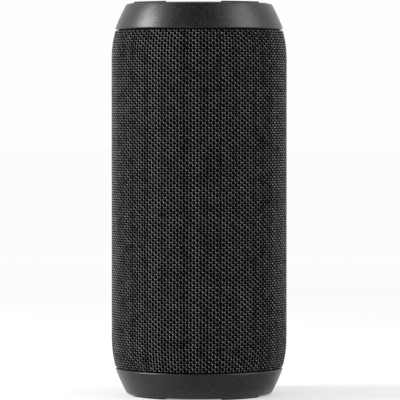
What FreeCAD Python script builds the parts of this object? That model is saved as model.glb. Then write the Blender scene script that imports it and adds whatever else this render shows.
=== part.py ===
import FreeCAD, Part
import math
import os

import Sketcher
from FreeCAD import Placement, Rotation, Vector

# A portable loudspeaker: a cylinder that stands on one of its two matching ends.
# +Z runs up the cylinder, the drivers face -Y, and the spine with the buttons is on the +Y side.
# The origin is the middle of the circle that the lower end stands on. Lengths are in millimetres.

doc = FreeCAD.newDocument("speaker")
sheet = doc.addObject("Spreadsheet::Sheet", "sizes")
sheet_rows = []


class Size:
    """A length or an angle: its number, and the expression that gives it in the document."""

    def __init__(self, number, text):
        self.number = number
        self.text = text

    def __add__(self, other):
        other = as_size(other)
        return Size(self.number + other.number, f"({self.text} + {other.text})")

    def __sub__(self, other):
        other = as_size(other)
        return Size(self.number - other.number, f"({self.text} - {other.text})")

    def __rsub__(self, other):
        return as_size(other) - self

    def __mul__(self, other):
        other = as_size(other)
        return Size(self.number * other.number, f"({self.text} * {other.text})")

    def __truediv__(self, other):
        other = as_size(other)
        return Size(self.number / other.number, f"({self.text} / {other.text})")

    def __neg__(self):
        return Size(-self.number, f"(0 - {self.text})")

    __radd__ = __add__
    __rmul__ = __mul__


def as_size(value):
    if isinstance(value, Size):
        return value
    return Size(float(value), f"({float(value):.6f})")


def size(name, number):
    """Put a driving size into the sheet under its own name."""
    sheet_rows.append(name)
    row = len(sheet_rows)
    sheet.set(f"A{row}", name)
    sheet.set(f"B{row}", str(number))
    sheet.setAlias(f"B{row}", name)
    return Size(float(number), f"sizes.{name}")


def leg(slant, side):
    """The third side of a right triangle: how far a circle reaches at a given offset."""
    slant = as_size(slant)
    side = as_size(side)
    number = math.sqrt(slant.number**2 - side.number**2)
    return Size(number, f"sqrt({slant.text} * {slant.text} - {side.text} * {side.text})")


# ---------------------------------------------------------------- driving sizes
# The whole speaker
total_height = size("total_height", 178.6)
body_diameter = size("body_diameter", 80)
clearance = size("clearance", 0.3)
running_gap = size("running_gap", 0.05)

# End caps
cap_height = size("cap_height", 11.5)
seam_step = size("seam_step", 1.9)
cap_taper = size("cap_taper", 5.1)
cap_flank_radius = size("cap_flank_radius", 70)
cap_lip = size("cap_lip", 0.35)
cap_rim_width = size("cap_rim_width", 1.2)
cap_rim_round = size("cap_rim_round", 0.8)
cap_web = size("cap_web", 4)
cap_inner_wall = size("cap_inner_wall", 1.2)
spigot_height = size("spigot_height", 2.5)

# Rubber bumpers, which are also the feet
foot_height = size("foot_height", 0.8)
bumper_proud = size("bumper_proud", 0.3)
bumper_depth = size("bumper_depth", 3)
bumper_width = size("bumper_width", 5.8)
bumper_gap = size("bumper_gap", 0.1)
arc_width = size("arc_width", 2.8)
arc_inset = size("arc_inset", 0.3)
arc_angle = size("arc_angle", 40)

# Cloth and the slotted shell under it
fabric_thickness = size("fabric_thickness", 1.4)
fabric_roll_height = size("fabric_roll_height", 15)
fabric_roll_depth = size("fabric_roll_depth", 1.8)
seam_gap = size("seam_gap", 0.5)
fabric_gap_angle = size("fabric_gap_angle", 29.6)
shell_gap_angle = size("shell_gap_angle", 28.8)
shell_wall = size("shell_wall", 2.3)
slot_width = size("slot_width", 3.4)
slot_length = size("slot_length", 34)
slot_pitch_angle = size("slot_pitch_angle", 9)

# Enclosure
shell_standoff = size("shell_standoff", 2.4)
enclosure_wall = size("enclosure_wall", 2.2)
end_flange = size("end_flange", 4)
gasket_thickness = size("gasket_thickness", 0.6)
rear_flat_drop = size("rear_flat_drop", 13.6)
enclosure_screw_inset = size("enclosure_screw_inset", 5.4)
enclosure_screw_margin = size("enclosure_screw_margin", 22)

# Passive radiators
radiator_frame_width = size("radiator_frame_width", 2.4)
radiator_frame_height = size("radiator_frame_height", 3)
radiator_lip = size("radiator_lip", 1.5)
radiator_roll_radius = size("radiator_roll_radius", 1.9)
radiator_rubber = size("radiator_rubber", 0.6)
radiator_disc = size("radiator_disc", 1)
radiator_weight_radius = size("radiator_weight_radius", 10)
radiator_weight_height = size("radiator_weight_height", 2)

# Drivers
driver_spacing = size("driver_spacing", 64)
driver_flange_radius = size("driver_flange_radius", 23.4)
driver_flange_thickness = size("driver_flange_thickness", 1.6)
driver_gasket_thickness = size("driver_gasket_thickness", 0.5)
driver_screw_inset = size("driver_screw_inset", 1.6)
driver_rim_width = size("driver_rim_width", 5.4)
driver_taper = size("driver_taper", 4.6)
driver_metal = size("driver_metal", 1.2)
driver_basket_depth = size("driver_basket_depth", 10)
driver_magnet_height = size("driver_magnet_height", 3.5)
driver_plate = size("driver_plate", 2)
driver_pole_radius = size("driver_pole_radius", 6)
driver_coil_wall = size("driver_coil_wall", 0.3)
driver_roll_radius = size("driver_roll_radius", 1.5)
driver_rubber = size("driver_rubber", 0.4)
driver_cone_paper = size("driver_cone_paper", 0.5)
dome_rise = size("dome_rise", 2.5)
spider_cloth = size("spider_cloth", 0.35)

# Spine, buttons and ports
spine_angle = size("spine_angle", 28)
spine_recess = size("spine_recess", 0.5)
spine_wall = size("spine_wall", 3.3)
small_button_radius = size("small_button_radius", 4.2)
large_button_radius = size("large_button_radius", 6)
button_flange = size("button_flange", 0.8)
button_travel = size("button_travel", 0.7)
power_drop = size("power_drop", 28.6)
pairing_drop = size("pairing_drop", 46.6)
volume_up_drop = size("volume_up_drop", 66.6)
play_drop = size("play_drop", 82.6)
volume_down_drop = size("volume_down_drop", 98.6)
light_pipe_radius = size("light_pipe_radius", 1)
window_width = size("window_width", 13)
window_length = size("window_length", 28)
window_rise = size("window_rise", 28.5)
hinge_depth = size("hinge_depth", 1.6)
hinge_radius = size("hinge_radius", 0.8)
hinge_pin_radius = size("hinge_pin_radius", 0.45)
cover_plate = size("cover_plate", 2.2)
usb_width = size("usb_width", 8.94)
usb_height = size("usb_height", 3.26)
jack_bore_radius = size("jack_bore_radius", 1.75)
jack_depth = size("jack_depth", 14)

# Boards, cells and screws
board_thickness = size("board_thickness", 1.4)
main_board_width = size("main_board_width", 40)
main_board_margin = size("main_board_margin", 30)
cell_radius = size("cell_radius", 9.2)
cell_length = size("cell_length", 65)
screw_radius = size("screw_radius", 1.2)
screw_head_radius = size("screw_head_radius", 2.1)
screw_head_height = size("screw_head_height", 1.5)
small_screw_radius = size("small_screw_radius", 0.9)
small_screw_head_radius = size("small_screw_head_radius", 1.5)
small_screw_head_height = size("small_screw_head_height", 1)
doc.recompute()

# ---------------------------------------------------------------- shared places
body_radius = body_diameter / 2
cap_seam_radius = body_radius - seam_step
cap_rim_radius = cap_seam_radius - cap_taper
bumper_outer = cap_rim_radius - cap_rim_width
bumper_inner = bumper_outer - bumper_width
radiator_seat = bumper_inner - cap_inner_wall
rim_z = foot_height
bumper_floor_z = rim_z + bumper_depth
enclosure_z = bumper_floor_z + cap_web
seam_z = rim_z + cap_height
enclosure_height = total_height - enclosure_z * 2
middle_z = total_height / 2

shell_outer = body_radius - fabric_thickness - clearance
shell_inner = shell_outer - shell_wall
spigot_outer = shell_inner - clearance
enclosure_radius = shell_inner - shell_standoff
spigot_inner = enclosure_radius + clearance

baffle_y = leg(enclosure_radius, driver_flange_radius + 0.1)
rear_y = enclosure_radius - rear_flat_drop
inside_rear_y = rear_y - enclosure_wall
cap_screw_circle = bumper_outer - bumper_width / 2

driver_throat_radius = driver_flange_radius - driver_rim_width
driver_back_radius = driver_throat_radius - driver_taper

spine_outer = body_radius - spine_recess
spine_inner = spine_outer - spine_wall

# ---------------------------------------------------------------- building helpers
finished = []
UPRIGHT = Rotation()
ALONG_X = Rotation(Vector(0, 1, 0), 90)
ALONG_Y = Rotation(Vector(1, 0, 0), -90)
FACING_FRONT = Rotation(Vector(1, 0, 0), 90)
UPSIDE_DOWN = Rotation(Vector(1, 0, 0), 180)


def place(item, at, rotation=UPRIGHT):
    """Turn an object and tie its position to three sizes."""
    item.Placement = Placement(Vector(*(as_size(value).number for value in at)), rotation)
    for axis, value in zip("xyz", at):
        item.setExpression(f"Placement.Base.{axis}", as_size(value).text)
    return item


def finish(item, name):
    """Name an object as a sub-part that is written out."""
    item.Label = name
    finished.append(item)
    return item


def cylinder(radius, length, at, rotation=UPRIGHT):
    item = doc.addObject("Part::Cylinder", "round")
    item.setExpression("Radius", as_size(radius).text)
    item.setExpression("Height", as_size(length).text)
    return place(item, at, rotation)


def block(width, depth, height, at):
    """A box whose x and y are counted from its middle, and z from its foot."""
    item = doc.addObject("Part::Box", "block")
    item.setExpression("Length", as_size(width).text)
    item.setExpression("Width", as_size(depth).text)
    item.setExpression("Height", as_size(height).text)
    return place(item, (at[0] - as_size(width) / 2, at[1] - as_size(depth) / 2, at[2]))


def group(items):
    item = doc.addObject("Part::Compound", "group")
    item.Links = items
    return item


def fuse(items):
    item = doc.addObject("Part::MultiFuse", "joined")
    item.Shapes = items
    return item


def cut(base, tools):
    item = doc.addObject("Part::Cut", "cut")
    item.Base = base
    item.Tool = fuse(tools) if len(tools) > 1 else tools[0]
    return item


def common(first, second):
    item = doc.addObject("Part::Common", "overlap")
    item.Base = first
    item.Tool = second
    return item


def new_body(name):
    return doc.addObject("PartDesign::Body", name + "_body")


def new_sketch(body, role, lift=None):
    """A sketch on one of the body's own origin planes, raised by lift."""
    sketch = body.newObject("Sketcher::SketchObject", "outline")
    plane = next(item for item in body.Origin.OriginFeatures if item.Role == role)
    sketch.AttachmentSupport = [(plane, "")]
    sketch.MapMode = "FlatFace"
    if lift is not None:
        sketch.setExpression("AttachmentOffset.Base.z", as_size(lift).text)
    return sketch


def arc_centre(start, end, radius):
    """Centre of the arc from start to end that turns left, or right if the radius is negative."""
    middle = (start + end) * 0.5
    half = (end - start) * 0.5
    rise = math.sqrt(max(radius * radius - half.Length**2, 0))
    side = Vector(-half.y, half.x, 0).normalize()
    return middle + side * math.copysign(rise, radius)


def draw(sketch, corners):
    """Draw a closed outline. A corner is (across, up), or (across, up, radius) to arrive by an arc."""
    points = [Vector(as_size(c[0]).number, as_size(c[1]).number, 0) for c in corners]
    starts = []
    ends = []
    for index, corner in enumerate(corners):
        start = points[index - 1]
        end = points[index]
        if len(corner) == 2:
            edge = sketch.addGeometry(Part.LineSegment(start, end), False)
            starts.append((edge, 1))
            ends.append((edge, 2))
            continue
        radius = as_size(corner[2])
        centre = arc_centre(start, end, radius.number)
        left = radius.number > 0
        first, last = (start, end) if left else (end, start)
        circle = Part.Circle(centre, Vector(0, 0, 1), abs(radius.number))
        angles = [math.atan2((p - centre).y, (p - centre).x) for p in (first, last)]
        if angles[1] < angles[0]:
            angles[1] += 2 * math.pi
        edge = sketch.addGeometry(Part.ArcOfCircle(circle, angles[0], angles[1]), False)
        starts.append((edge, 1 if left else 2))
        ends.append((edge, 2 if left else 1))
        rule = sketch.addConstraint(Sketcher.Constraint("Radius", edge, abs(radius.number)))
        text = radius.text if left else (-radius).text
        sketch.setExpression(f"Constraints[{rule}]", text)
    for index, corner in enumerate(corners):
        here = ends[index]
        sketch.addConstraint(Sketcher.Constraint("Coincident", *here, *starts[(index + 1) % len(corners)]))
        for kind, value, axis in (("DistanceX", corner[0], -2), ("DistanceY", corner[1], -1)):
            value = as_size(value)
            if abs(value.number) < 1e-9:
                sketch.addConstraint(Sketcher.Constraint("PointOnObject", *here, axis))
                continue
            rule = sketch.addConstraint(Sketcher.Constraint(kind, -1, 1, *here, value.number))
            sketch.setExpression(f"Constraints[{rule}]", value.text)
    return sketch


def turn(name, corners, angle=None, role="XZ_Plane", body=None):
    """Turn an outline about Z: all the way round, or by an angle centred on its plane."""
    body = body or new_body(name)
    sketch = draw(new_sketch(body, role), corners)
    feature = body.newObject("PartDesign::Revolution", "turned")
    feature.Profile = sketch
    feature.ReferenceAxis = (sketch, ["V_Axis"])
    if angle is None:
        feature.Angle = 360
    else:
        feature.Midplane = True
        feature.setExpression("Angle", as_size(angle).text)
    return body


def pad(body, corners, lift, length):
    """Raise an outline along Z from a given level."""
    sketch = draw(new_sketch(body, "XY_Plane", lift), corners)
    feature = body.newObject("PartDesign::Pad", "raised")
    feature.Profile = sketch
    feature.setExpression("Length", as_size(length).text)
    return body


def ring(inner, outer, low, high):
    return [(inner, low), (outer, low), (outer, high), (inner, high)]


def stand(item, end):
    """Leave a lower sub-part where it is, and turn its twin over to the top."""
    if end == "upper":
        place(item, (0, 0, total_height), UPSIDE_DOWN)
    return item


def corner_points(circle):
    """Four points on a circle, half way between the axes."""
    step = circle * math.sqrt(0.5)
    return [(step * x, step * y) for x in (-1, 1) for y in (-1, 1)]


# ---------------------------------------------------------------- ends
def make_cap(end):
    """Painted cap: a tapered ring with a groove for the bumper and a spigot inside the shell."""
    body = turn(
        end + "_cap",
        [
            (bumper_outer, rim_z),
            (cap_rim_radius, rim_z),
            (cap_seam_radius, seam_z - cap_lip, cap_flank_radius),
            (cap_seam_radius - cap_lip, seam_z),
            (spigot_outer, seam_z),
            (spigot_outer, seam_z + spigot_height),
            (spigot_inner, seam_z + spigot_height),
            (spigot_inner, enclosure_z),
            (radiator_seat, enclosure_z),
            (radiator_seat, enclosure_z - radiator_rubber - radiator_frame_height),
            (radiator_seat - radiator_lip, enclosure_z - radiator_rubber - radiator_frame_height),
            (radiator_seat - radiator_lip, rim_z + 0.4),
            (bumper_inner, rim_z + 0.4),
            (bumper_inner, bumper_floor_z),
            (bumper_outer, bumper_floor_z),
        ],
    )
    doc.recompute()
    outer_rim = [
        f"Edge{number}"
        for number, edge in enumerate(body.Shape.Edges, 1)
        if edge.BoundBox.ZMax < rim_z.number + 1e-4
        and abs(edge.BoundBox.XMax - cap_rim_radius.number) < 1e-4
    ]
    turned = body.Tip
    rounding = body.newObject("PartDesign::Fillet", "rim_round")
    rounding.Base = (turned, outer_rim)
    rounding.setExpression("Radius", cap_rim_round.text)
    body.Tip = rounding
    holes = []
    for x, y in corner_points(cap_screw_circle):
        holes.append(cylinder(screw_head_radius + 0.2, screw_head_height + 0.2, (x, y, bumper_floor_z)))
        holes.append(cylinder(screw_radius + 0.1, cap_web + 0.2, (x, y, bumper_floor_z)))
    finish(stand(cut(body, holes), end), end + "_cap")


def make_bumper(end):
    """Rubber ring in the cap's groove, with four raised arcs that the speaker stands on."""
    outer = bumper_outer - bumper_gap
    inner = bumper_inner + bumper_gap
    face_z = rim_z - bumper_proud
    body = turn(end + "_bumper", ring(inner, outer, face_z, bumper_floor_z))
    arc_outer = outer - arc_inset
    arc = ring(arc_outer - arc_width, arc_outer, Size(0, "0"), face_z + 0.5)
    turn(end + "_bumper", arc, arc_angle, body=body)
    raised_arc = body.Tip
    pattern = body.newObject("PartDesign::PolarPattern", "arcs")
    pattern.Originals = [raised_arc]
    pattern.Axis = (raised_arc.Profile[0], ["V_Axis"])
    pattern.Angle = 360
    pattern.Occurrences = 4
    body.Tip = pattern
    quarter = Rotation(Vector(0, 0, 1), 45)
    if end == "upper":
        place(body, (0, 0, total_height), UPSIDE_DOWN.multiply(quarter))
    else:
        place(body, (0, 0, 0), quarter)
    finish(body, end + "_bumper")


def make_radiator(end):
    """Passive radiator: frame, rubber surround with a half roll, stiff disc and steel weight."""
    top = enclosure_z
    rubber_low = top - radiator_rubber
    frame_outer = radiator_seat - clearance
    frame_inner = frame_outer - radiator_frame_width
    roll = radiator_roll_radius
    half = radiator_rubber / 2
    roll_out = frame_inner - 0.5
    centre = roll_out - roll
    roll_in = centre - roll
    disc_radius = roll_in - 0.3
    middle = rubber_low + half
    frame_low = rubber_low - radiator_frame_height
    body = turn(end + "_frame", ring(frame_inner, frame_outer, frame_low, rubber_low))
    finish(stand(body, end), end + "_radiator_frame")
    body = turn(
        end + "_surround",
        [
            (disc_radius - 2.2, rubber_low),
            (centre - roll - half, rubber_low),
            (centre - roll - half, middle),
            (centre, middle - roll - half, roll + half),
            (centre + roll + half, middle, roll + half),
            (centre + roll + half, rubber_low),
            (frame_outer, rubber_low),
            (frame_outer, top),
            (centre + roll - half, top),
            (centre + roll - half, middle),
            (centre, middle - roll + half, half - roll),
            (centre - roll + half, middle, half - roll),
            (centre - roll + half, top),
            (disc_radius - 2.2, top),
        ],
    )
    finish(stand(body, end), end + "_radiator_surround")
    body = turn(
        end + "_disc",
        [
            (Size(0, "0"), rubber_low - radiator_disc),
            (disc_radius, rubber_low - radiator_disc),
            (disc_radius, rubber_low),
            (Size(0, "0"), rubber_low),
        ],
    )
    finish(stand(body, end), end + "_radiator_cone")
    weight = cylinder(radiator_weight_radius, radiator_weight_height, (0, 0, rubber_low))
    if end == "upper":
        place(weight, (0, 0, total_height - rubber_low), UPSIDE_DOWN)
    finish(weight, end + "_radiator_weight")


for end in ("lower", "upper"):
    make_cap(end)
    make_bumper(end)
    make_radiator(end)

# ---------------------------------------------------------------- cloth and shell
fabric_low = seam_z + seam_gap
fabric_high = total_height - fabric_low
roll_radius = (fabric_roll_depth * fabric_roll_depth + fabric_roll_height * fabric_roll_height) / (
    fabric_roll_depth * 2
)
fabric_end = body_radius - fabric_roll_depth
fabric_inner = body_radius - fabric_thickness
sleeve = turn(
    "fabric_sleeve",
    [
        (-fabric_end, fabric_low),
        (-body_radius, fabric_low + fabric_roll_height, -roll_radius),
        (-body_radius, fabric_high - fabric_roll_height),
        (-fabric_end, fabric_high, -roll_radius),
        (-(fabric_inner - fabric_roll_depth), fabric_high),
        (-fabric_inner, fabric_high - fabric_roll_height),
        (-fabric_inner, fabric_low + fabric_roll_height),
        (-(fabric_inner - fabric_roll_depth), fabric_low),
    ],
    360 - fabric_gap_angle,
    role="YZ_Plane",
)
finish(sleeve, "fabric_sleeve")

shell_low = seam_z
shell_high = total_height - seam_z
shell_body = turn(
    "grille_shell",
    [
        (-shell_inner, shell_low),
        (-(shell_outer - fabric_roll_depth), shell_low),
        (-shell_outer, fabric_low + fabric_roll_height),
        (-shell_outer, fabric_high - fabric_roll_height),
        (-(shell_outer - fabric_roll_depth), shell_high),
        (-shell_inner, shell_high),
    ],
    360 - shell_gap_angle,
    role="YZ_Plane",
)
slots = []
for height in (-1, 1):
    for step in range(-5, 6):
        slot = doc.addObject("Part::Box", "slot")
        slot.setExpression("Length", slot_width.text)
        slot.setExpression("Width", (shell_wall * 3).text)
        slot.setExpression("Height", slot_length.text)
        heading = slot_pitch_angle * step
        across = slot_width / 2
        reach = shell_inner + shell_wall * 2
        slot.setExpression("Placement.Rotation.Angle", f"{heading.text} * 1 deg")
        sine = f"sin({heading.text})"
        cosine = f"cos({heading.text})"
        slot_low = middle_z + driver_spacing / 2 * height - slot_length / 2
        slot.setExpression("Placement.Base.x", f"{reach.text} * {sine} - {across.text} * {cosine}")
        slot.setExpression("Placement.Base.y", f"-{reach.text} * {cosine} - {across.text} * {sine}")
        slot.setExpression("Placement.Base.z", slot_low.text)
        slots.append(slot)
finish(cut(shell_body, slots), "grille_shell")


# ---------------------------------------------------------------- enclosure
def half_shell(side, flat, name):
    """One half of the enclosure: a flat face joined by round sides, with a flange at each end."""
    split = gasket_thickness / 2
    inner_radius = enclosure_radius - enclosure_wall
    inner_flat = flat - enclosure_wall
    turn_way = side
    outer_half = leg(enclosure_radius, flat)
    inner_half = leg(inner_radius, inner_flat)
    hole = radiator_seat - clearance - radiator_frame_width - 0.5
    body = new_body(name)
    wall = [
        (leg(enclosure_radius, split), split * side),
        (outer_half, flat * side, enclosure_radius * turn_way),
        (-outer_half, flat * side),
        (-leg(enclosure_radius, split), split * side, enclosure_radius * turn_way),
        (-leg(inner_radius, split), split * side),
        (-inner_half, inner_flat * side, inner_radius * -turn_way),
        (inner_half, inner_flat * side),
        (leg(inner_radius, split), split * side, inner_radius * -turn_way),
    ]
    pad(body, wall, enclosure_z, enclosure_height)
    flange = [
        (leg(enclosure_radius, split), split * side),
        (Size(0, "0"), enclosure_radius * side, enclosure_radius * turn_way),
        (-leg(enclosure_radius, split), split * side, enclosure_radius * turn_way),
        (-leg(hole, split), split * side),
        (Size(0, "0"), hole * side, hole * -turn_way),
        (leg(hole, split), split * side, hole * -turn_way),
    ]
    pad(body, flange, enclosure_z, end_flange)
    pad(body, flange, total_height - enclosure_z - end_flange, end_flange)
    return body


screw_x = enclosure_radius - enclosure_screw_inset
screw_levels = [enclosure_screw_margin, middle_z, total_height - enclosure_screw_margin]
front_boss = size("front_boss", 10)
rear_boss = size("rear_boss", 11)
head_seat = size("head_seat", 6)
split_y = gasket_thickness / 2


def cap_screw_holes(side):
    holes = []
    for x, y in corner_points(cap_screw_circle):
        if y.number * side > 0:
            for low in (enclosure_z - 1, total_height - enclosure_z - end_flange - 1):
                holes.append(cylinder(screw_radius + running_gap, end_flange + 2, (x, y, low)))
    return holes


front_bosses = []
rear_bosses = []
front_holes = cap_screw_holes(-1)
rear_holes = cap_screw_holes(1)
enclosure_screws = []
for level in screw_levels:
    for side in (-1, 1):
        x = screw_x * side
        front_height = front_boss - split_y
        rear_height = rear_boss - split_y
        bore = screw_radius + running_gap
        front_bosses.append(cylinder(screw_radius + 1.4, front_height, (x, -front_boss, level), ALONG_Y))
        rear_bosses.append(cylinder(screw_head_radius + 1.1, rear_height, (x, split_y, level), ALONG_Y))
        front_holes.append(cylinder(bore, front_boss, (x, -front_boss + 1, level), ALONG_Y))
        rear_holes.append(cylinder(bore, head_seat + 1, (x, Size(-1, "-1"), level), ALONG_Y))
        head_bore = screw_head_radius + 0.1
        rear_holes.append(cylinder(head_bore, enclosure_radius, (x, head_seat, level), ALONG_Y))
        shank = cylinder(screw_radius, head_seat + front_boss - 2, (x, 2 - front_boss, level), ALONG_Y)
        head = cylinder(screw_head_radius, screw_head_height, (x, head_seat, level), ALONG_Y)
        enclosure_screws.append(fuse([shank, head]))
finish(group(enclosure_screws), "enclosure_screws")

driver_levels = {"lower": middle_z - driver_spacing / 2, "upper": middle_z + driver_spacing / 2}
driver_screw_circle = driver_flange_radius - driver_screw_inset
driver_screw_length = enclosure_wall - 0.2
driver_face = baffle_y + driver_gasket_thickness
driver_screws = []
driver_gaskets = []
for end, level in driver_levels.items():
    front_holes.append(
        cylinder(
            driver_throat_radius + driver_metal + 0.4,
            enclosure_wall * 3,
            (0, -baffle_y - 1, level),
            ALONG_Y,
        )
    )
    gasket_ring = cut(
        cylinder(
            driver_screw_circle - small_screw_radius - 0.2,
            driver_gasket_thickness,
            (0, -driver_face, level),
            ALONG_Y,
        ),
        [cylinder(driver_throat_radius + driver_metal + 0.4, 3, (0, -driver_face - 1, level), ALONG_Y)],
    )
    driver_gaskets.append(gasket_ring)
    for x, rise in corner_points(driver_screw_circle):
        z = level + rise
        head_y = -driver_face - driver_flange_thickness
        front_holes.append(
            cylinder(
                small_screw_radius + running_gap,
                driver_screw_length + 1,
                (x, -baffle_y - 1, z),
                ALONG_Y,
            )
        )
        reach = driver_flange_thickness + driver_gasket_thickness + driver_screw_length - 0.1
        shank = cylinder(small_screw_radius, reach, (x, head_y, z), ALONG_Y)
        head = cylinder(
            small_screw_head_radius,
            small_screw_head_height,
            (x, head_y - small_screw_head_height, z),
            ALONG_Y,
        )
        driver_screws.append(fuse([shank, head]))
finish(group(driver_gaskets), "driver_gaskets")
finish(group(driver_screws), "driver_screws")

front_shell = half_shell(-1, baffle_y, "front_enclosure")
finish(cut(fuse([front_shell] + front_bosses), front_holes), "front_enclosure")

# The seal is a strip down each side between the halves.
strips = [
    block(
        enclosure_wall - 0.2,
        gasket_thickness,
        enclosure_height,
        ((enclosure_radius - enclosure_wall / 2 - 0.05) * side, 0, enclosure_z),
    )
    for side in (-1, 1)
]
finish(group(strips), "enclosure_gasket")

# ---------------------------------------------------------------- boards and cells
main_board_height = total_height - main_board_margin * 2
main_board_y = inside_rear_y - 0.8 - board_thickness / 2
board_screw_x = main_board_width / 2 - 4
board_screws = []
main_board_holes = []
for level in (main_board_margin + 4, total_height - main_board_margin - 4):
    for side in (-1, 1):
        x = board_screw_x * side
        post = cylinder(small_screw_radius + 1.3, 1.8, (x, inside_rear_y - 0.8, level), ALONG_Y)
        rear_bosses.append(post)
        main_board_holes.append(cylinder(small_screw_radius + 0.1, 4, (x, main_board_y - 2, level), ALONG_Y))
        rear_holes.append(
            cylinder(small_screw_radius + running_gap, 2.2, (x, inside_rear_y - 0.9, level), ALONG_Y)
        )
        head_y = main_board_y - board_thickness / 2
        shank = cylinder(small_screw_radius, board_thickness + 1.9, (x, head_y, level), ALONG_Y)
        head = cylinder(
            small_screw_head_radius,
            small_screw_head_height,
            (x, head_y - small_screw_head_height, level),
            ALONG_Y,
        )
        board_screws.append(fuse([shank, head]))
rear_shell = half_shell(1, rear_y, "rear_enclosure")
finish(cut(fuse([rear_shell] + rear_bosses), rear_holes), "rear_enclosure")

main_board = block(main_board_width, board_thickness, main_board_height, (0, main_board_y, main_board_margin))
finish(cut(main_board, main_board_holes), "main_board")

component_face = main_board_y - board_thickness / 2
holder_wall = size("holder_wall", 1.2)
holder_y = component_face - clearance - holder_wall / 2
cell_y = holder_y - holder_wall / 2 - clearance - cell_radius
cell_low = middle_z - cell_length / 2
cells = [
    cylinder(cell_radius, cell_length, ((cell_radius + 0.25) * side, cell_y, cell_low)) for side in (-1, 1)
]
finish(group(cells), "battery_cells")
holder_width = cell_radius * 4 + 2
end_depth = cell_radius * 1.4
holder = [block(holder_width, holder_wall, cell_length + 4, (0, holder_y, cell_low - 2))]
for level in (cell_low - 2, cell_low + cell_length + 0.4):
    end_y = holder_y + holder_wall / 2 - end_depth / 2
    holder.append(block(holder_width, end_depth, 1.6, (0, end_y, level)))
finish(fuse(holder), "battery_holder")

# Radio module can, amplifier chip, power chip, two coils and two capacitors on the board's inner face.
components = [
    block(18, 2.4, 13, (-6, component_face - 1.2, total_height - main_board_margin - 20)),
    block(9, 1.2, 9, (8, component_face - 0.6, main_board_margin + 12)),
    block(5, 1, 5, (13, component_face - 0.5, total_height - main_board_margin - 18)),
    block(7, 3.6, 7, (-12, component_face - 1.8, main_board_margin + 11)),
    block(7, 3.6, 7, (-3, component_face - 1.8, main_board_margin + 11)),
    cylinder(2.5, 6, (-6, component_face - 6, main_board_margin + 5), ALONG_Y),
    cylinder(2.5, 6, (4, component_face - 6, main_board_margin + 5), ALONG_Y),
]
finish(group(components), "board_components")


# ---------------------------------------------------------------- drivers
SPIDER_UNDERSIDE = [(0, 0.1), (1, -0.4), (2, 0.3), (3, -0.4), (4, 0.1)]


def make_driver(end, level):
    """Full-range driver, turned about its own axis with its flange's back at zero, facing front."""
    zero = Size(0, "0")
    flange = driver_flange_thickness
    throat = driver_throat_radius
    back = -driver_basket_depth
    coil_inner = driver_pole_radius + clearance
    coil_outer = coil_inner + driver_coil_wall
    plate_inner = coil_outer + clearance
    neck = driver_metal
    seat = flange - 0.5
    face = flange
    roll = driver_roll_radius
    half = driver_rubber / 2
    middle = face + half
    centre = throat + 0.4 - roll - half
    lip_out = centre - roll + half
    cone_neck = coil_outer + 0.05
    neck_z = Size(-6.2, "-6.2")
    magnet_top = back - driver_plate
    yoke_top = magnet_top - driver_magnet_height
    dome_edge = cone_neck + 1.9
    cone_slope = (face - neck_z - 1) / (lip_out - 0.6 - cone_neck)
    dome_z = neck_z + 1 + (dome_edge - cone_neck) * cone_slope + clearance
    dome_radius = (dome_edge * dome_edge + dome_rise * dome_rise) / (dome_rise * 2)
    dome_inside = dome_radius - driver_cone_paper
    spider_z = neck_z - 1.3
    wave = (driver_back_radius - 0.9 - cone_neck) / 4
    pieces = {
        "basket": [
            (driver_flange_radius, zero),
            (driver_flange_radius, flange),
            (throat, flange),
            (throat, zero),
            (driver_back_radius - neck, back + 1),
            (plate_inner + 1.3, back + 1),
            (plate_inner + 1.3, back),
            (driver_back_radius, back),
            (driver_back_radius, back + 1),
            (throat + neck, zero),
        ],
        "front_plate": ring(plate_inner, driver_back_radius - 0.4, magnet_top, back),
        "magnet": ring(plate_inner + 1.2, driver_back_radius - 0.6, yoke_top, magnet_top),
        "yoke": [
            (zero, yoke_top - driver_plate),
            (driver_back_radius - 0.2, yoke_top - driver_plate),
            (driver_back_radius - 0.2, yoke_top),
            (driver_pole_radius, yoke_top),
            (driver_pole_radius, back),
            (zero, back),
        ],
        "voice_coil": ring(coil_inner, coil_outer, back - 3, neck_z + 0.8),
        "cone": [
            (cone_neck, neck_z),
            (cone_neck + 0.5, neck_z),
            (cone_neck + 0.5, neck_z + 0.4),
            (lip_out - 0.3, seat),
            (lip_out, seat),
            (lip_out, face),
            (lip_out - 0.6, face),
            (cone_neck, neck_z + 1),
        ],
        "dust_cap": [
            (dome_edge, dome_z),
            (zero, dome_z + dome_rise, dome_radius),
            (zero, dome_z + dome_rise - driver_cone_paper),
            (leg(dome_inside, dome_radius - dome_rise), dome_z, -dome_inside),
        ],
        "surround": [
            (lip_out - 0.9, face),
            (centre - roll + half, face),
            (centre - roll + half, middle),
            (centre, middle + roll - half, half - roll),
            (centre + roll - half, middle, half - roll),
            (centre + roll - half, face),
            (driver_screw_circle - small_screw_head_radius - 0.2, face),
            (driver_screw_circle - small_screw_head_radius - 0.2, face + driver_rubber),
            (centre + roll + half, face + driver_rubber),
            (centre, middle + roll + half, roll + half),
            (centre - roll - half, face + driver_rubber, roll + half),
            (lip_out - 0.9, face + driver_rubber),
        ],
        "spider": [(cone_neck + wave * step, spider_z + rise) for step, rise in SPIDER_UNDERSIDE]
        + [
            (cone_neck + wave * step, spider_z + rise + spider_cloth)
            for step, rise in reversed(SPIDER_UNDERSIDE)
        ],
    }
    for name, corners in pieces.items():
        item = turn(f"{end}_{name}", corners)
        if name == "basket":
            holes = [
                cylinder(small_screw_radius + 0.1, 4, (x, y, -1))
                for x, y in corner_points(driver_screw_circle)
            ]
            item = cut(item, holes)
        place(item, (0, -driver_face, level), FACING_FRONT)
        finish(item, f"{end}_driver_{name}")


for end, level in driver_levels.items():
    make_driver(end, level)

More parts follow.
